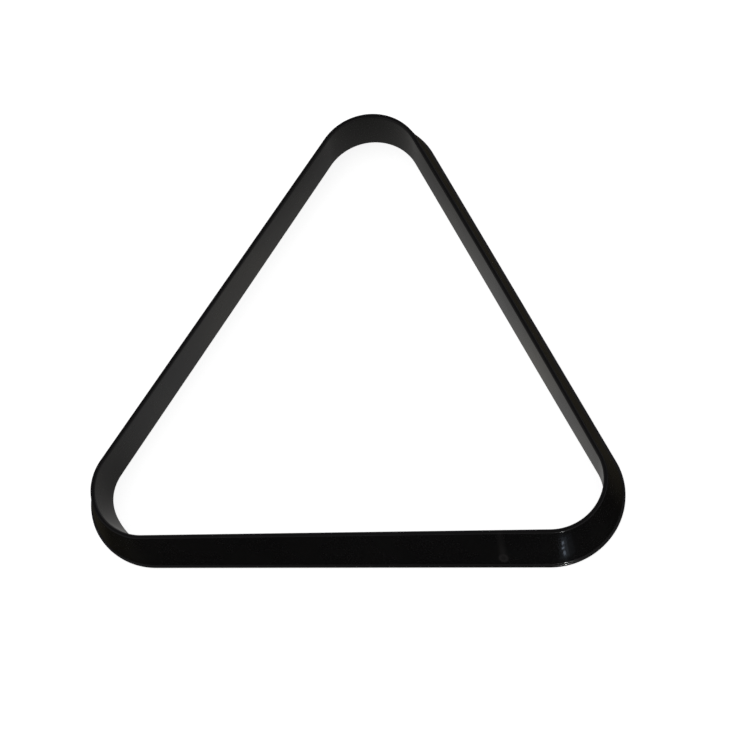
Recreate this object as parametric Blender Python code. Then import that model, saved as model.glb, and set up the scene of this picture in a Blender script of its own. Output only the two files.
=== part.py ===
"""Billiard triangle rack: one plastic moulding, built as three straight rails and three round corners.

Metres, +Z up. The origin is the middle of the footprint on the table. The apex points to +Y.
A cross-section is a list of (reach, height) points: reach is measured outwards from the line that joins the
centres of the corner balls, and height from the table. The walls lean outwards: that line is drawn larger
the higher up it is, by SPREAD in each side at the rim.
"""
import math

import bmesh
import bpy
from mathutils import Matrix, Vector

# What the rack holds
BALL_DIAMETER = 0.05715
BALLS_PER_SIDE = 5

# Cross-section
HEIGHT = 0.0300             # table to the top of the rim
SPREAD = 0.0050
INNER_RIM_REACH = 0.0294    # inner face at the rim, from the larger line there
INNER_FOOT_REACH = 0.0298   # inner face at the table: the ball's radius plus a small clearance
RIM_WIDTH = 0.0024
RIM_ROUNDING = 0.00075
WALL_FOOT_REACH = 0.0408    # outer face, just above the lip
LIP_REACH = 0.0420          # outermost edge of the whole rack
LIP_HEIGHT = 0.0024
LIP_ROUNDING = 0.0006
FOOT_ROUNDING = 0.0004

# Channel on the underside
SKIN = 0.0021               # thickness of the inner and outer skin
CHANNEL_DEPTH = 0.0200
CHANNEL_TOP_WIDTH = 0.0008
CHANNEL_MOUTH_ROOM = 0.0040  # how far the channel's cutter runs out below the table
RIB_WIDTH = 0.0020
POCKETS_PER_RAIL = 6
POCKETS_PER_CORNER = 3

# Assembly
GAP = 0.0003                # between neighbouring nodes
CORNER_ANGLE = math.radians(120)
CORNER_STEPS = 30           # steps round one corner
POCKET_STEPS = 8            # steps round one pocket of a corner

SIDE = BALL_DIAMETER * (BALLS_PER_SIDE - 1)   # between the centres of two corner balls
DEPTH = SIDE * math.sqrt(3) / 2
BASE_Y = -DEPTH / 2
APEX_Y = DEPTH / 2
LEFT_CENTRE = Vector((-SIDE / 2, BASE_Y, 0))
RIGHT_CENTRE = Vector((SIDE / 2, BASE_Y, 0))
APEX_CENTRE = Vector((0, APEX_Y, 0))


def clear_scene():
    for item in list(bpy.data.objects):
        bpy.data.objects.remove(item, do_unlink=True)


def rounded(corner, before, after, radius, steps=3):
    """Points of an arc that replaces a corner, seen from the points before and after it."""
    corner, before, after = Vector(corner), Vector(before), Vector(after)
    to_before = (before - corner).normalized()
    to_after = (after - corner).normalized()
    half = to_before.angle(to_after) / 2
    centre = corner + (to_before + to_after).normalized() * radius / math.sin(half)
    start = (corner + to_before * radius / math.tan(half) - centre).normalized()
    end = (corner + to_after * radius / math.tan(half) - centre).normalized()
    return [centre + start.slerp(end, i / steps) * radius for i in range(steps + 1)]


def wall_profile():
    """Outline of the moulding's section, without its channel."""
    outer_rim = INNER_RIM_REACH + RIM_WIDTH
    lip_top = (WALL_FOOT_REACH, LIP_HEIGHT)
    inner_foot = (INNER_FOOT_REACH, 0)
    inner_top = (INNER_RIM_REACH, HEIGHT)
    outer_top = (outer_rim, HEIGHT)
    lip_edge = (LIP_REACH, LIP_HEIGHT)
    lip_foot = (LIP_REACH, 0)
    points = rounded(inner_foot, lip_foot, inner_top, FOOT_ROUNDING)
    points += rounded(inner_top, inner_foot, outer_top, RIM_ROUNDING)
    points += rounded(outer_top, inner_top, lip_top, RIM_ROUNDING)
    points.append(Vector(lip_top))
    points += rounded(lip_edge, lip_top, lip_foot, LIP_ROUNDING)
    points += rounded(lip_foot, lip_edge, inner_foot, FOOT_ROUNDING)
    return points


def skin_reach(height):
    """Reach of the inner face and of the outer face at a height above the lip."""
    inner = INNER_FOOT_REACH + (INNER_RIM_REACH - INNER_FOOT_REACH) * height / HEIGHT
    share = (height - LIP_HEIGHT) / (HEIGHT - LIP_HEIGHT)
    outer = WALL_FOOT_REACH + (INNER_RIM_REACH + RIM_WIDTH - WALL_FOOT_REACH) * share
    return inner, outer


def channel_profile():
    """Outline of the wedge that is cut from the underside, between the two skins."""
    inner_low, outer_low = skin_reach(0)
    inner_high, outer_high = skin_reach(CHANNEL_DEPTH)
    middle = (inner_high + outer_high) / 2
    low = -CHANNEL_MOUTH_ROOM
    points = [
        (inner_low + SKIN, low),
        (inner_low + SKIN, 0),
        (middle - CHANNEL_TOP_WIDTH / 2, CHANNEL_DEPTH),
        (middle + CHANNEL_TOP_WIDTH / 2, CHANNEL_DEPTH),
        (outer_low - SKIN, 0),
        (outer_low - SKIN, low),
    ]
    return [Vector(point) for point in points]


def sweep(bm, profile, stations):
    """Closed body through copies of a profile. A station turns (reach, height) into a point."""
    rings = [[bm.verts.new(place(p)) for p in profile] for place in stations]
    count = len(profile)
    for near, far in zip(rings, rings[1:]):
        for i in range(count):
            j = (i + 1) % count
            bm.faces.new((near[i], near[j], far[j], far[i]))
    bm.faces.new(reversed(rings[0]))
    bm.faces.new(rings[-1])


def growth(height):
    """By what share the line of ball centres is larger at a height than on the table."""
    return SPREAD / SIDE * height / HEIGHT


def rail_station(along):
    """A rail lies along X, with its outer side towards -Y."""
    side_distance = SIDE / (2 * math.sqrt(3))      # from the middle of the rack to a side
    return lambda p: Vector((along * (1 + growth(p.y)), -p.x - side_distance * growth(p.y), p.y))


def corner_station(angle):
    """A corner bends about Z, and its middle faces -Y."""
    turn = angle - math.pi / 2
    corner_distance = SIDE / math.sqrt(3)          # from the middle of the rack to a corner ball
    return lambda p: Vector((p.x * math.cos(turn), p.x * math.sin(turn) - corner_distance * growth(p.y), p.y))


def evenly(start, end, steps):
    return [start + (end - start) * i / steps for i in range(steps + 1)]


def rail_pockets(bm):
    length = SIDE - 2 * GAP
    pitch = (length - RIB_WIDTH) / POCKETS_PER_RAIL
    for i in range(POCKETS_PER_RAIL):
        start = -length / 2 + RIB_WIDTH + i * pitch
        ends = [start, start + pitch - RIB_WIDTH]
        sweep(bm, channel_profile(), [rail_station(x) for x in ends])


def corner_pockets(bm):
    rib = RIB_WIDTH / WALL_FOOT_REACH
    pitch = (CORNER_ANGLE - rib) / POCKETS_PER_CORNER
    for i in range(POCKETS_PER_CORNER):
        start = -CORNER_ANGLE / 2 + rib + i * pitch
        angles = evenly(start, start + pitch - rib, POCKET_STEPS)
        sweep(bm, channel_profile(), [corner_station(a) for a in angles])


def mesh_object(name, build):
    mesh = bpy.data.meshes.new(name)
    bm = bmesh.new()
    build(bm)
    bmesh.ops.recalc_face_normals(bm, faces=bm.faces)
    bm.to_mesh(mesh)
    bm.free()
    item = bpy.data.objects.new(name, mesh)
    bpy.context.collection.objects.link(item)
    return item


def black_plastic(name):
    material = bpy.data.materials.new(name)
    material.use_nodes = True
    shader = material.node_tree.nodes["Principled BSDF"]
    shader.inputs["Base Color"].default_value = (0.012, 0.012, 0.013, 1)
    shader.inputs["Roughness"].default_value = 0.25
    shader.inputs["Metallic"].default_value = 0
    material.diffuse_color = (0.012, 0.012, 0.013, 1)
    return material


def moulded(name, body, pockets, place, turn):
    """One region of the moulding, with its pockets cut from below."""
    item = mesh_object(name, body)
    cutter = mesh_object(name + "_cutter", pockets)
    for each in (item, cutter):
        each.matrix_world = Matrix.Translation(place) @ Matrix.Rotation(turn, 4, "Z")
    cutter.hide_render = True
    cutter.display_type = "WIRE"
    cut = item.modifiers.new("pockets", "BOOLEAN")
    cut.operation = "DIFFERENCE"
    cut.solver = "EXACT"
    cut.object = cutter
    item.data.materials.append(black_plastic(name))
    item.data.shade_smooth()
    item.data.set_sharp_from_angle(angle=math.radians(35))
    return item


def rail(name, near, far):
    """A straight side between two corner centres, counter-clockwise seen from above."""
    half = SIDE / 2 - GAP
    ends = [rail_station(-half), rail_station(half)]
    along = far - near
    turn = math.atan2(along.y, along.x)
    moulded(name, lambda bm: sweep(bm, wall_profile(), ends), rail_pockets, (near + far) / 2, turn)


def corner(name, centre, turn):
    angles = evenly(-CORNER_ANGLE / 2, CORNER_ANGLE / 2, CORNER_STEPS)
    stations = [corner_station(a) for a in angles]
    moulded(name, lambda bm: sweep(bm, wall_profile(), stations), corner_pockets, centre, turn)


def main():
    clear_scene()
    rail("base_rail", LEFT_CENTRE, RIGHT_CENTRE)
    rail("right_rail", RIGHT_CENTRE, APEX_CENTRE)
    rail("left_rail", APEX_CENTRE, LEFT_CENTRE)
    corner("left_corner", LEFT_CENTRE, math.radians(-60))
    corner("right_corner", RIGHT_CENTRE, math.radians(60))
    corner("apex_corner", APEX_CENTRE, math.radians(180))


main()
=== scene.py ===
"""Looks of the billiard triangle rack: its moulded shape, the black plastic, and the studio.

The six CAD nodes are regions of one moulding. Here each has a finely moulded piece in its place. The pieces
meet face to face and share their surface directions at the joints, so they show as one continuous moulding.
A section is a list of (reach, height) points: reach is measured outwards from the line that joins the
centres of the corner balls, and height from the table. That line is a little larger at the rim than on the
table. The rack is also a little out of shape: its rim is shifted by up to 3 mm, the rim of the right rail
is bowed, and in places the inner face stands further in at its foot.
"""
import math

import bpy
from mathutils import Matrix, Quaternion, Vector


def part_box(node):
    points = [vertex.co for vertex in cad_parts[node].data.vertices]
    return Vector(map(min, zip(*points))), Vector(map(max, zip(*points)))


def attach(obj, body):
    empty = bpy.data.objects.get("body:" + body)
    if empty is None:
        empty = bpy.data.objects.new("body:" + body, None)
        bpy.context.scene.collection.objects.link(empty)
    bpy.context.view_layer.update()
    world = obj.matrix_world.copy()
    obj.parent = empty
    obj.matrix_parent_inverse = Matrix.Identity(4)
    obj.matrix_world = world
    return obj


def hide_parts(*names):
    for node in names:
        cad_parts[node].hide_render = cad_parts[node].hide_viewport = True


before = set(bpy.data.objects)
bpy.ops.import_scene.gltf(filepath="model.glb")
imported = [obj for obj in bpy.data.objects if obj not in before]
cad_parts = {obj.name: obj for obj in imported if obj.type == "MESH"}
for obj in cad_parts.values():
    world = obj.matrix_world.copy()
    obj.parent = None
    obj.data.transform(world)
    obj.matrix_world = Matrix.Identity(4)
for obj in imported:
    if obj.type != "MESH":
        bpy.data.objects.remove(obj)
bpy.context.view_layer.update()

# Main measures
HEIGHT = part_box("base_rail")[1].z
SIDE = 0.2286                # between the centres of two corner balls
DEPTH = SIDE * math.sqrt(3) / 2
BASE_Y, APEX_Y = -DEPTH / 2, DEPTH / 2
LIP_REACH = 0.0419           # a hair inside the CAD's lip
LEFT = Vector((-SIDE / 2, BASE_Y, 0))
RIGHT = Vector((SIDE / 2, BASE_Y, 0))
APEX = Vector((0, APEX_Y, 0))


def heading(angle):
    """The level direction at an angle from +X."""
    return Vector((math.cos(angle), math.sin(angle), 0))


# How far each corner of the line is shifted at the rim: by its growth, and by the rack's own bent shape
RIM_SPREAD = 0.0050          # how much longer each side of the line is at the rim
RIM_LEAN = RIM_SPREAD / math.sqrt(3)
RIM_SHIFT = {
    "left": heading(math.radians(210)) * RIM_LEAN + Vector((-0.0009, -0.0008, 0)),
    "right": heading(math.radians(-30)) * RIM_LEAN + Vector((0.0001, 0.0020, 0)),
    "apex": heading(math.radians(90)) * RIM_LEAN + Vector((0.0027, -0.0003, 0)),
}
RIGHT_RIM_BOW = 0.0008       # how far the middle of the right rail's rim is bowed outwards

# Section
INNER_RIM_REACH = LIP_REACH - 0.0125
INNER_FOOT_REACH = LIP_REACH - 0.0121
RIM_WIDTH = 0.0024
RIM_ROUNDING = 0.00075
WALL_FOOT_REACH = LIP_REACH - 0.0011
LIP_HEIGHT = 0.0024
LIP_ROUNDING = 0.00085
LIP_FILLET = 0.0005
FOOT_ROUNDING = 0.0004
ROUND_STEPS = 7
WALL_STEP = 0.0012           # longest stretch of a straight part of the section

# Where the inner face stands further in at its foot: a place, its spread, and how far in
FOOT_INSETS = [
    (LEFT + Vector((-0.024, -0.019, 0)), 0.019, 0.0024),
    (RIGHT.lerp(APEX, 0.2), 0.10, 0.0004),
]

# Channel and ribs on the underside
SKIN = 0.0021
CHANNEL_DEPTH = 0.0200
CHANNEL_TOP_WIDTH = 0.0008
INNER_MARGIN = 1.2           # allowance on the skin's width and the channel's depth in telling inner points
RIB_WIDTH = 0.0020
POCKETS_PER_RAIL = 6
POCKETS_PER_CORNER = 3

# Steps along the moulding
CORNER_TURN = math.radians(120)
RAIL_STEP = 0.0030
CORNER_STEP = math.radians(1.5)

# Mark of the moulding gate on the outside of the base: a ring, with a faint flow streak above it. A list of
# stops gives what a value between 0 and 1 turns into.
GATE = Vector((0.0887, BASE_Y - 0.0388, 0.0082))
GATE_SIZE = 0.0042           # sideways measure of the ring: a value of 1 in its stops
GATE_HEIGHT_SCALE = 0.68     # how much a height counts in it, so that the ring is taller than wide
RING_STOPS = [(0.0, 0.45), (0.24, 0.35), (0.40, 1.0), (0.54, 1.0), (0.74, 0.0)]
STREAK_WIDTH = 0.0026        # from its middle to its side
STREAK_SIDE_STOPS = [(0.2, 1.0), (1.0, 0.0)]
STREAK_HEIGHT_STOPS = [(0.08, 0.0), (0.18, 0.8), (0.66, 0.3)]
STREAK_DEPTH = 0.0049        # how far behind the gate it may show, which keeps it off the inner face
STREAK_LEAN = 0.005          # how much further behind it may show one height of the rack above the gate
STREAK_WEIGHT = 1.3

# Plastic: a noise has a scale and a detail, and a bump a strength and a depth
PLASTIC_TONES = [(0.3, (0.0021, 0.0020, 0.0021)), (0.75, (0.0034, 0.0032, 0.0033))]
PLASTIC_ROUGHNESS = [(0.3, 0.24), (0.8, 0.33)]
MARK_TONE = (0.0165, 0.0150, 0.0150, 1)
MARK_ROUGHNESS = (0.42, 0.42, 0.42, 1)
TONE_NOISE = (28, 4)
ROUGHNESS_NOISE = (60, 6)
STREAK_NOISE = (700, 3)
RIPPLE_NOISE = (190, 2)
GRAIN_NOISE = (2600, 2)
RIPPLE_BUMP = (0.25, 0.00006)
GRAIN_BUMP = (0.08, 0.00001)
RING_BUMP = (0.5, 0.00012)

# Floor
FLOOR_HALF = 6
FLOOR_TONES = [(0, 0.84), (1, 0.87)]
FLOOR_NOISE_SCALE = 40
FLOOR_GLOW = 0.81

# Painted reflection: a glowing sheet inside the rack, seen only in gloss, stands in for the table's light as
# the inner walls
# mirror it: at their feet, and further in. A pool of painted light is a place, its spread, and what it adds
# there.
PAINTED_REFLECTION_LIGHT = (0.150, 0.145)
PAINTED_REFLECTION_INSET = 0.2            # how far in, as a share of the way to the middle
PAINTED_REFLECTION_POOLS = [
    (RIGHT.lerp(APEX, 0.35), 0.12, (0.052, -0.060)),
    (APEX, 0.06, (-0.055, -0.090)),
    (LEFT + Vector((-0.035, 0.004, 0)), 0.032, (-0.085, -0.085)),
    (LEFT + Vector((0.000, -0.030, 0)), 0.030, (0.200, 0.120)),
]
PAINTED_REFLECTION_DROP = 0.0002          # how far the painted reflection sheet lies below the table
PAINTED_REFLECTION_TINTS = [(0.3, (0.92, 0.92, 0.93)), (0.7, (1.09, 1.06, 1.00))]
PAINTED_REFLECTION_NOISE_SCALE = 14

# Even light for all but the plastic's gloss
EVEN_LIGHT = 0.30

# The room's light as the plastic mirrors it, by the height of the direction: -1 is down and 1 is up
ROOM_LIGHT = [
    (-0.80, (0.0125, 0.0110, 0.0075)),
    (-0.64, (0.0100, 0.0096, 0.0095)),
    (-0.45, (0.0120, 0.0115, 0.0120)),
    (-0.25, (0.0200, 0.0192, 0.0200)),
    (0.00, (0.0800, 0.0770, 0.0800)),
    (0.25, (0.2700, 0.2600, 0.2700)),
    (0.60, (0.2500, 0.2400, 0.2500)),
    (0.82, (0.1200, 0.1150, 0.1200)),
]
ROOM_NOISE = (1.6, 1)
ROOM_NOISE_RANGE = (0.35, 0.65)
ROOM_STRENGTH = (0.55, 1.45)  # at the two ends of that range

# The soft lamp overhead, which the plastic doesn't mirror
SOFTBOX_PLACE = Vector((-0.55, 0.8, 2.2))
SOFTBOX_SIZE = (1.6, 1.6)
SOFTBOX_GLARE = 0.75

# Small lamps whose mirror images show on the right corner: on the lip's round edge, and on the outer face as
# a row of three glints in a soft haze. A turn is in degrees round the corner from +X, a tilt in degrees from
# upright, and a spread is the angle that the lamp fans out over.
LIP_GLINT_TURN = -77
LIP_GLINT_TILT = 47
LIP_GLINT_DISTANCE = 0.15
LIP_GLINT_SIZE = (0.010, 0.030)
LIP_GLINT_GLARE = 130
LIP_GLINT_SPREAD = 30
WALL_GLINT_DISTANCE = 0.05
WALL_GLINT_COLOUR = (0.70, 0.82, 1.0)
WALL_GLINTS = [              # name, turn, height, size, glare, spread
    ("glint_upper", -78.0, 0.0202, (0.0036, 0.0016), 1.75, 40),
    ("glint_middle", -78.2, 0.0158, (0.0038, 0.0009), 2.25, 40),
    ("glint_lower", -77.4, 0.0111, (0.0034, 0.0022), 1.55, 40),
    ("glint_haze", -76.4, 0.0160, (0.0080, 0.0110), 0.17, 24),
    ("glint_halo", -75.2, 0.0164, (0.0220, 0.0120), 0.06, 36),
]

# Camera
CAMERA_AZIMUTH = math.radians(24.44)
CAMERA_ELEVATION = math.radians(66.32)
CAMERA_ROLL = math.radians(-23.30)
CAMERA_DISTANCE = 1.7805
CAMERA_LENS = 148.57
CAMERA_TARGET = Vector((0.0032, -0.0172, 0))


def placed(name, data):
    """A new object in the scene."""
    item = bpy.data.objects.new(name, data)
    bpy.context.collection.objects.link(item)
    return item


# ---------------------------------------------------------------- section

def rounded(corner, before, after, radius):
    """Points of an arc that replaces a corner, seen from the points before and after it."""
    corner, before, after = Vector(corner), Vector(before), Vector(after)
    to_before = (before - corner).normalized()
    to_after = (after - corner).normalized()
    half = to_before.angle(to_after) / 2
    centre = corner + (to_before + to_after).normalized() * radius / math.sin(half)
    start = (corner + to_before * radius / math.tan(half) - centre).normalized()
    end = (corner + to_after * radius / math.tan(half) - centre).normalized()
    return [centre + start.slerp(end, i / ROUND_STEPS) * radius for i in range(ROUND_STEPS + 1)]


def divided(points):
    """The same outline with its long stretches cut into short ones."""
    out = [points[0]]
    for near, far in zip(points, points[1:]):
        count = max(1, math.ceil((far - near).length / WALL_STEP))
        out += [near.lerp(far, (i + 1) / count) for i in range(count)]
    return out


def skin_section():
    """The skin, from the inner foot over the rim to the outer foot. Both ends lie on the table."""
    inner_foot, lip_foot = (INNER_FOOT_REACH, 0), (LIP_REACH, 0)
    inner_top, outer_top = (INNER_RIM_REACH, HEIGHT), (INNER_RIM_REACH + RIM_WIDTH, HEIGHT)
    wall_foot, lip_edge = (WALL_FOOT_REACH, LIP_HEIGHT), (LIP_REACH, LIP_HEIGHT)
    points = rounded(inner_foot, lip_foot, inner_top, FOOT_ROUNDING)
    points += rounded(inner_top, inner_foot, outer_top, RIM_ROUNDING)
    points += rounded(outer_top, inner_top, wall_foot, RIM_ROUNDING)
    points += rounded(wall_foot, outer_top, lip_edge, LIP_FILLET)
    points += rounded(lip_edge, wall_foot, lip_foot, LIP_ROUNDING)
    points += rounded(lip_foot, lip_edge, inner_foot, FOOT_ROUNDING)
    return divided(points)


def skin_reach(height):
    """Reach of the inner face and of the outer face at a height."""
    inner = INNER_FOOT_REACH + (INNER_RIM_REACH - INNER_FOOT_REACH) * height / HEIGHT
    share = (height - LIP_HEIGHT) / (HEIGHT - LIP_HEIGHT)
    outer = WALL_FOOT_REACH + (INNER_RIM_REACH + RIM_WIDTH - WALL_FOOT_REACH) * share
    return inner, outer


def channel_section():
    """The channel, from its outer mouth over its top to its inner mouth."""
    inner_low, outer_low = skin_reach(0)
    middle = sum(skin_reach(CHANNEL_DEPTH)) / 2
    half = CHANNEL_TOP_WIDTH / 2
    points = [(outer_low - SKIN, 0), (middle + half, CHANNEL_DEPTH),
              (middle - half, CHANNEL_DEPTH), (inner_low + SKIN, 0)]
    return [Vector(point) for point in points]


def directions(points):
    """Outward surface direction at each point of the skin."""
    sides = [(far - near).normalized() for near, far in zip(points, points[1:])]
    sides = [Vector((-s.y, s.x)) for s in sides]
    between = [(a + b).normalized() for a, b in zip(sides, sides[1:])]
    return [sides[0]] + between + [sides[-1]]


# ---------------------------------------------------------------- mesh

def foot_inset(place, along):
    """How much further in the inner face stands at a place on its foot, and how fast that grows along."""
    inset = slope = 0
    for middle, spread, depth in FOOT_INSETS:
        share = depth * math.exp(-((place - middle).length / spread) ** 2)
        inset += share
        slope -= share * 2 * (place - middle).dot(along) / spread ** 2
    return inset, slope


def is_inner(p):
    """Whether a point of the section is on the inner skin, which ends at the channel's inner side."""
    width = SKIN * INNER_MARGIN if p.y < CHANNEL_DEPTH * INNER_MARGIN else RIM_WIDTH / 2
    return p.x - skin_reach(p.y)[0] < width


class Station:
    """A cut across the moulding: a point on the line, the shift of the rim there, and the way out.

    It also says whether the stretch that follows it is a solid rib.
    """

    def __init__(self, foot, shift, outward, solid):
        self.foot, self.shift, self.outward, self.solid = foot, shift, outward, solid
        self.along = Vector((-outward.y, outward.x, 0))
        self.inset, self.slope = foot_inset(foot + outward * INNER_FOOT_REACH, self.along)

    def place(self, p):
        """Where a point of the section is in space."""
        rise = p.y / HEIGHT
        reach = p.x - self.inset * (1 - rise) if is_inner(p) else p.x
        return self.foot + self.shift * rise + self.outward * reach + Vector((0, 0, p.y))

    def turn(self, p, d):
        """The surface direction in space, from the section's own direction at a point."""
        lean, slope = self.shift.dot(self.outward) / HEIGHT, 0
        if is_inner(p):
            lean += self.inset / HEIGHT
            slope = self.slope * (1 - p.y / HEIGHT)
        way = self.outward * d.x + self.along * (d.x * slope) + Vector((0, 0, d.y - lean * d.x))
        return way.normalized()


def moulded(name, stations):
    """A closed piece through the stations."""
    skin, channel = skin_section(), channel_section()
    normals = directions(skin)
    verts, faces, loops = [], [], []

    def face(corners, way=None):
        """A face with its surface direction at each corner. Without one it is flat."""
        faces.append(corners)
        if way is None:
            a, b, c = (Vector(verts[i]) for i in corners[:3])
            way = [(b - a).cross(c - b).normalized()] * len(corners)
        loops.extend(way)

    ring = len(skin) + len(channel)
    outer_foot, inner_foot = len(skin) - 1, 0
    mouth = [len(skin) + i for i in range(len(channel))]
    for station in stations:
        verts.extend(station.place(p) for p in skin + channel)
    for k, (near, far) in enumerate(zip(stations, stations[1:])):
        a, b = k * ring, (k + 1) * ring
        for i in range(len(skin) - 1):
            low, high = (skin[i], normals[i]), (skin[i + 1], normals[i + 1])
            way = [near.turn(*low), near.turn(*high), far.turn(*high), far.turn(*low)]
            face((a + i, a + i + 1, b + i + 1, b + i), way)
        under = [(outer_foot, mouth[0]), (mouth[-1], inner_foot)]
        if near.solid:
            under.append((mouth[0], mouth[-1]))
        else:
            under += list(zip(mouth, mouth[1:]))
        for i, j in under:
            face((a + i, a + j, b + j, b + i))
        before_solid = k == 0 or stations[k - 1].solid
        if near.solid != before_solid:
            wall = [a + i for i in mouth]
            face(tuple(wall if near.solid else reversed(wall)))
    end = (len(stations) - 1) * ring
    outline = list(range(len(skin))) + [mouth[0], mouth[-1]]
    face(tuple(reversed(outline)))
    face(tuple(end + i for i in outline))

    mesh = bpy.data.meshes.new(name)
    mesh.from_pydata(verts, [], faces)
    mesh.polygons.foreach_set("use_smooth", [True] * len(faces))
    mesh.normals_split_custom_set(loops)
    mesh.validate()
    return placed(name, mesh)


def rib_marks(length, rib, pockets):
    """Stretches along a length: (start, end, solid), ribs and pockets in turn."""
    pitch = (length - rib) / pockets
    marks = []
    for i in range(pockets):
        marks += [(i * pitch, i * pitch + rib, True), (i * pitch + rib, (i + 1) * pitch, False)]
    return marks + [(length - rib, length, True)]


def spaced(length, rib, pockets, step):
    """Places along a length, close enough together, each with its solid mark."""
    places = []
    for start, end, solid in rib_marks(length, rib, pockets):
        count = max(1, math.ceil((end - start) / step))
        places += [(start + (end - start) * i / count, solid) for i in range(count)]
    return places + [(length, True)]


def rail(near, far, near_shift, far_shift, bow=0.0):
    """Stations of a straight side. Its rim may be bowed outwards, most in the middle."""
    along = (far - near).normalized()
    outward = Vector((along.y, -along.x, 0))
    stations = []
    for s, solid in spaced(SIDE, RIB_WIDTH, POCKETS_PER_RAIL, RAIL_STEP):
        share = s / SIDE
        shift = near_shift.lerp(far_shift, share) + outward * (bow * 4 * share * (1 - share))
        stations.append(Station(near + along * s, shift, outward, solid))
    return stations


def corner(centre, shift, first):
    """Stations of a bend, counter-clockwise from the first outward angle, in degrees."""
    marks = spaced(CORNER_TURN, RIB_WIDTH / WALL_FOOT_REACH, POCKETS_PER_CORNER, CORNER_STEP)
    start = math.radians(first)
    return [Station(centre, shift, heading(start + turn), solid) for turn, solid in marks]


def regions():
    """Stations of each CAD node's region, counter-clockwise round the rack from the left corner."""
    left, right, apex = RIM_SHIFT["left"], RIM_SHIFT["right"], RIM_SHIFT["apex"]
    return {
        "left_corner": corner(LEFT, left, 150),
        "base_rail": rail(LEFT, RIGHT, left, right),
        "right_corner": corner(RIGHT, right, -90),
        "right_rail": rail(RIGHT, APEX, right, apex, RIGHT_RIM_BOW),
        "apex_corner": corner(APEX, apex, 30),
        "left_rail": rail(APEX, LEFT, apex, left),
    }


# ---------------------------------------------------------------- materials

class Graph:
    """The node tree of a material or world, with a short call for each kind of node."""

    def __init__(self, owner):
        owner.use_nodes = True
        self.nodes, self.links = owner.node_tree.nodes, owner.node_tree.links
        self.place = self.new("TexCoord", {}).outputs

    def fill(self, node, values):
        """Link or set a node's inputs, which go by name or number."""
        for key, value in values.items():
            if isinstance(value, bpy.types.NodeSocket):
                self.links.new(value, node.inputs[key])
            else:
                node.inputs[key].default_value = value
        return node

    def new(self, kind, values, **settings):
        node = self.nodes.new("ShaderNode" + kind)
        for key, value in settings.items():
            setattr(node, key, value)
        return self.fill(node, values)

    def noise(self, scale, detail=2.0, place="Object"):
        values = {"Vector": self.place[place], "Scale": scale, "Detail": detail}
        return self.new("TexNoise", values).outputs["Fac"]

    def ramp(self, source, stops):
        """Colours or greys along a value. A stop is a position and what it is there."""
        node = self.new("ValToRGB", {"Fac": source})
        elements = node.color_ramp.elements
        while len(elements) < len(stops):
            elements.new(0.5)
        for element, (position, colour) in zip(elements, stops):
            element.position = position
            element.color = (*colour, 1) if isinstance(colour, tuple) else (colour, colour, colour, 1)
        return node.outputs["Color"]

    def value(self, operation, first, second=0.0):
        return self.new("Math", {0: first, 1: second}, operation=operation).outputs["Value"]

    def vector(self, operation, first, second=(0, 0, 0)):
        return self.new("VectorMath", {0: first, 1: second}, operation=operation).outputs

    def mapped(self, source, ends, new_ends=(0, 1)):
        """A value that runs between two ends, moved to run between two others."""
        values = dict(zip(("From Min", "From Max", "To Min", "To Max"), ends + new_ends))
        return self.new("MapRange", {"Value": source, **values}).outputs["Result"]

    def blended(self, share, first, second):
        """Colour first, which turns into colour second with the share."""
        values = {"Factor": share, "A": first, "B": second}
        return self.new("Mix", values, data_type="RGBA").outputs["Result"]

    def bump(self, strength, depth, height, below=None):
        """A bump, on top of another one if that is given."""
        node = self.new("Bump", {"Strength": strength, "Distance": depth, "Height": height})
        if below is not None:
            self.fill(node, {"Normal": below})
        return node.outputs["Normal"]


def gate_mark(graph):
    """The ring of the gate mark, and the whole mark: the ring and the flow streak above it."""
    away = graph.vector("SUBTRACT", graph.place["Object"], GATE)["Vector"]
    oval = graph.vector("MULTIPLY", away, (1, 1, GATE_HEIGHT_SCALE))["Vector"]
    distance = graph.vector("LENGTH", oval)["Value"]
    ring = graph.ramp(graph.value("DIVIDE", distance, GATE_SIZE), RING_STOPS)
    split = graph.new("SeparateXYZ", {"Vector": away}).outputs
    aside = graph.value("DIVIDE", graph.value("ABSOLUTE", split["X"]), STREAK_WIDTH)
    above = graph.value("DIVIDE", split["Z"], HEIGHT)
    behind = graph.value("SUBTRACT", split["Y"], graph.value("MULTIPLY", above, STREAK_LEAN))
    outside = graph.value("LESS_THAN", behind, STREAK_DEPTH)
    sides, heights = graph.ramp(aside, STREAK_SIDE_STOPS), graph.ramp(above, STREAK_HEIGHT_STOPS)
    streak = graph.value("MULTIPLY", graph.value("MULTIPLY", sides, heights), outside)
    streak = graph.value("MULTIPLY", streak, graph.noise(*STREAK_NOISE))
    both = graph.value("ADD", ring, graph.value("MULTIPLY", streak, STREAK_WEIGHT))
    return ring, graph.value("MINIMUM", both, 1.0)


def black_plastic():
    """Glossy black plastic with a slight ripple and a fine grain, duller on the gate mark."""
    material = bpy.data.materials.new("black_moulded_plastic")
    graph = Graph(material)
    ring, mark = gate_mark(graph)
    tone = graph.ramp(graph.noise(*TONE_NOISE), PLASTIC_TONES)
    roughness = graph.ramp(graph.noise(*ROUGHNESS_NOISE), PLASTIC_ROUGHNESS)
    ripple = graph.bump(*RIPPLE_BUMP, graph.noise(*RIPPLE_NOISE))
    grain = graph.bump(*GRAIN_BUMP, graph.noise(*GRAIN_NOISE), ripple)
    graph.fill(graph.nodes["Principled BSDF"], {
        "IOR": 1.5,
        "Specular IOR Level": 0.36,
        "Coat Weight": 0.8,
        "Coat Roughness": 0.05,
        "Base Color": graph.blended(mark, tone, MARK_TONE),
        "Roughness": graph.blended(mark, roughness, MARK_ROUGHNESS),
        "Normal": graph.bump(*RING_BUMP, ring, grain),
    })
    return material


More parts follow.
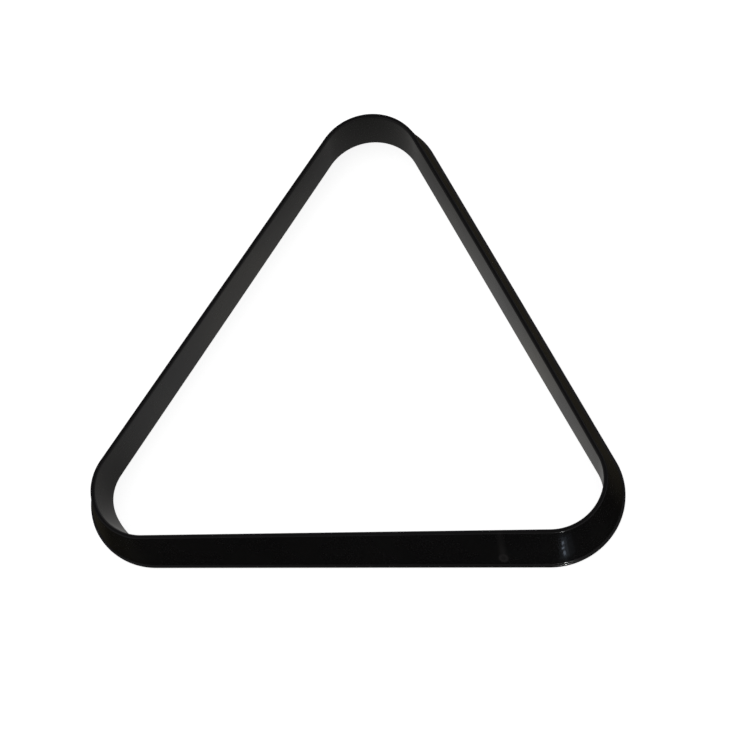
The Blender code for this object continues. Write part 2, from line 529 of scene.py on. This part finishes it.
def pale_floor():
    """A matt white that faintly glows, so that the black ring throws only a soft shadow on it."""
    material = bpy.data.materials.new("pale_floor")
    graph = Graph(material)
    graph.fill(graph.nodes["Principled BSDF"], {
        "Base Color": graph.ramp(graph.noise(FLOOR_NOISE_SCALE), FLOOR_TONES),
        "Roughness": 0.9,
        "Specular IOR Level": 0.0,
        "Emission Color": (1, 1, 1, 1),
        "Emission Strength": FLOOR_GLOW,
    })
    return material


def painted_reflection_glow():
    """Painted reflection: a slightly uneven glow, as strong as the mesh's light attribute says."""
    material = bpy.data.materials.new("painted_table_reflection")
    graph = Graph(material)
    graph.nodes.remove(graph.nodes["Principled BSDF"])
    tint = graph.ramp(graph.noise(PAINTED_REFLECTION_NOISE_SCALE), PAINTED_REFLECTION_TINTS)
    strength = graph.new("Attribute", {}, attribute_name="light").outputs["Fac"]
    glow = graph.new("Emission", {"Color": tint, "Strength": strength}).outputs["Emission"]
    graph.fill(graph.nodes["Material Output"], {"Surface": glow})
    return material


# ---------------------------------------------------------------- studio

def floor():
    """The sheet that the rack lies on."""
    mesh = bpy.data.meshes.new("studio_floor")
    corners = [(x * FLOOR_HALF, y * FLOOR_HALF, 0) for x, y in ((-1, -1), (1, -1), (1, 1), (-1, 1))]
    mesh.from_pydata(corners, [], [(0, 1, 2, 3)])
    mesh.materials.append(pale_floor())
    item = placed("studio_floor", mesh)
    item.visible_glossy = False
    item.visible_shadow = False


def painted_reflection_at(place, ring):
    """The painted light of the reflection sheet at a place, on the ring at the feet (0) or further in (1).
    """
    light = PAINTED_REFLECTION_LIGHT[ring]
    for middle, spread, change in PAINTED_REFLECTION_POOLS:
        light += change[ring] * math.exp(-((place - middle).length / spread) ** 2)
    return light


def painted_table_reflection():
    """A glowing sheet inside the rack: a painted reflection of the lit table, as the inner walls mirror it.
    It shows only in gloss.
    """
    stations = [station for region in regions().values() for station in region[:-1]]
    edge = [s.foot + s.outward * INNER_FOOT_REACH for s in stations]
    middle = sum(edge, Vector()) / len(edge)
    inner = [p.lerp(middle, PAINTED_REFLECTION_INSET) for p in edge]
    count = len(edge)
    faces = [(i, (i + 1) % count, count + (i + 1) % count, count + i) for i in range(count)]
    faces += [(count + i, count + (i + 1) % count, 2 * count) for i in range(count)]
    down = Vector((0, 0, -PAINTED_REFLECTION_DROP))
    mesh = bpy.data.meshes.new("painted_table_reflection")
    mesh.from_pydata([p + down for p in edge + inner + [middle]], [], faces)
    light = mesh.attributes.new("light", "FLOAT", "POINT")
    values = [painted_reflection_at(p, 0) for p in edge] + [painted_reflection_at(p, 1) for p in inner + [middle]]
    light.data.foreach_set("value", values)
    mesh.materials.append(painted_reflection_glow())
    item = placed("painted_table_reflection", mesh)
    item.visible_camera = False
    item.visible_diffuse = False
    item.visible_shadow = False


def surroundings():
    """Even white light for the floor and the shadows, and a dim room for the plastic to mirror."""
    world = bpy.data.worlds.new("studio")
    bpy.context.scene.world = world
    graph = Graph(world)
    direction = graph.place["Generated"]
    upward = graph.new("SeparateXYZ", {"Vector": direction}).outputs["Z"]
    stops = [((height + 1) / 2, colour) for height, colour in ROOM_LIGHT]
    cloud = graph.noise(*ROOM_NOISE, "Generated")
    even = graph.fill(graph.nodes["Background"], {"Color": (1, 1, 1, 1), "Strength": EVEN_LIGHT})
    room = graph.new("Background", {
        "Color": graph.ramp(graph.mapped(upward, (-1, 1)), stops),
        "Strength": graph.mapped(cloud, ROOM_NOISE_RANGE, ROOM_STRENGTH),
    })
    mix = graph.new("MixShader", {
        "Fac": graph.new("LightPath", {}).outputs["Is Glossy Ray"],
        1: even.outputs["Background"],
        2: room.outputs["Background"],
    })
    graph.fill(graph.nodes["World Output"], {"Surface": mix.outputs["Shader"]})


def lamp(name, place, target, size, glare, spread=180, colour=(1, 1, 1), lights=True, shows=True):
    """A rectangular lamp that fans out over an angle. It lights surfaces, shows in their gloss, or both.

    Glare is how bright its face is. A lamp with a narrow spread has a brighter face for the same energy.
    """
    half = math.radians(spread / 2)
    focus = math.tan(half) / (math.tan(half) - half) if spread < 180 else 1
    light = bpy.data.lights.new(name, "AREA")
    light.shape, light.color = "RECTANGLE", colour
    light.size, light.size_y = size
    light.energy = math.pi * size[0] * size[1] * glare / focus
    light.spread = math.radians(spread)
    item = placed(name, light)
    item.location = place
    item.rotation_mode = "QUATERNION"
    item.rotation_quaternion = (place - target).to_track_quat("Z", "Y")
    item.visible_camera = False
    item.visible_diffuse = lights
    item.visible_glossy = shows


def right_corner_station(turn):
    return Station(RIGHT, RIM_SHIFT["right"], heading(math.radians(turn)), True)


def wall_spot(turn, height):
    """A spot on the outer face of the right corner, and the surface direction there."""
    down = Vector((WALL_FOOT_REACH, LIP_HEIGHT)) - Vector((INNER_RIM_REACH + RIM_WIDTH, HEIGHT))
    p = Vector((skin_reach(height)[1], height))
    station = right_corner_station(turn)
    return station.place(p), station.turn(p, Vector((-down.y, down.x)).normalized())


def lip_spot(turn, tilt):
    """A spot on the round edge of the right corner's lip, and the surface direction there."""
    way = Vector((math.sin(math.radians(tilt)), math.cos(math.radians(tilt))))
    p = Vector((LIP_REACH - LIP_ROUNDING, LIP_HEIGHT - LIP_ROUNDING)) + way * LIP_ROUNDING
    station = right_corner_station(turn)
    return station.place(p), station.turn(p, way)


def mirrored(spot, way, distance):
    """Where a lamp stands so that its mirror image shows at a spot."""
    sight = (spot - bpy.context.scene.camera.location).normalized()
    return spot + (sight - way * 2 * sight.dot(way)) * distance


def lamps():
    """The soft lamp overhead, and the small ones that show on the right corner."""
    lamp("overhead_softbox", SOFTBOX_PLACE, Vector(), SOFTBOX_SIZE, SOFTBOX_GLARE, shows=False)
    spot, way = lip_spot(LIP_GLINT_TURN, LIP_GLINT_TILT)
    place = mirrored(spot, way, LIP_GLINT_DISTANCE)
    lamp("front_lamp", place, spot, LIP_GLINT_SIZE, LIP_GLINT_GLARE, LIP_GLINT_SPREAD, lights=False)
    for name, turn, height, size, glare, spread in WALL_GLINTS:
        spot, way = wall_spot(turn, height)
        place = mirrored(spot, way, WALL_GLINT_DISTANCE)
        lamp(name, place, spot, size, glare, spread, WALL_GLINT_COLOUR, lights=False)


def camera():
    """The camera at the photograph's viewing angle."""
    data = bpy.data.cameras.new("camera")
    data.lens = CAMERA_LENS
    item = placed("camera", data)
    flat = math.cos(CAMERA_ELEVATION)
    aside, toward = math.sin(CAMERA_AZIMUTH), math.cos(CAMERA_AZIMUTH)
    back = Vector((aside * flat, -toward * flat, math.sin(CAMERA_ELEVATION)))
    item.location = CAMERA_TARGET + back * CAMERA_DISTANCE
    item.rotation_mode = "QUATERNION"
    item.rotation_quaternion = back.to_track_quat("Z", "Y") @ Quaternion((0, 0, 1), CAMERA_ROLL)
    bpy.context.scene.camera = item


# ---------------------------------------------------------------- the rack

def rack():
    """A moulded piece in the place of each CAD node."""
    plastic = black_plastic()
    for node, stations in regions().items():
        piece = moulded(node + "_moulding", stations)
        piece.data.materials.append(plastic)
        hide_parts(node)
        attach(piece, "root")


camera()
surroundings()
lamps()
floor()
# painted reflection: a glowing sheet that only the plastic's gloss shows
painted_table_reflection()
rack()
bpy.context.scene.view_settings.view_transform = "Standard"
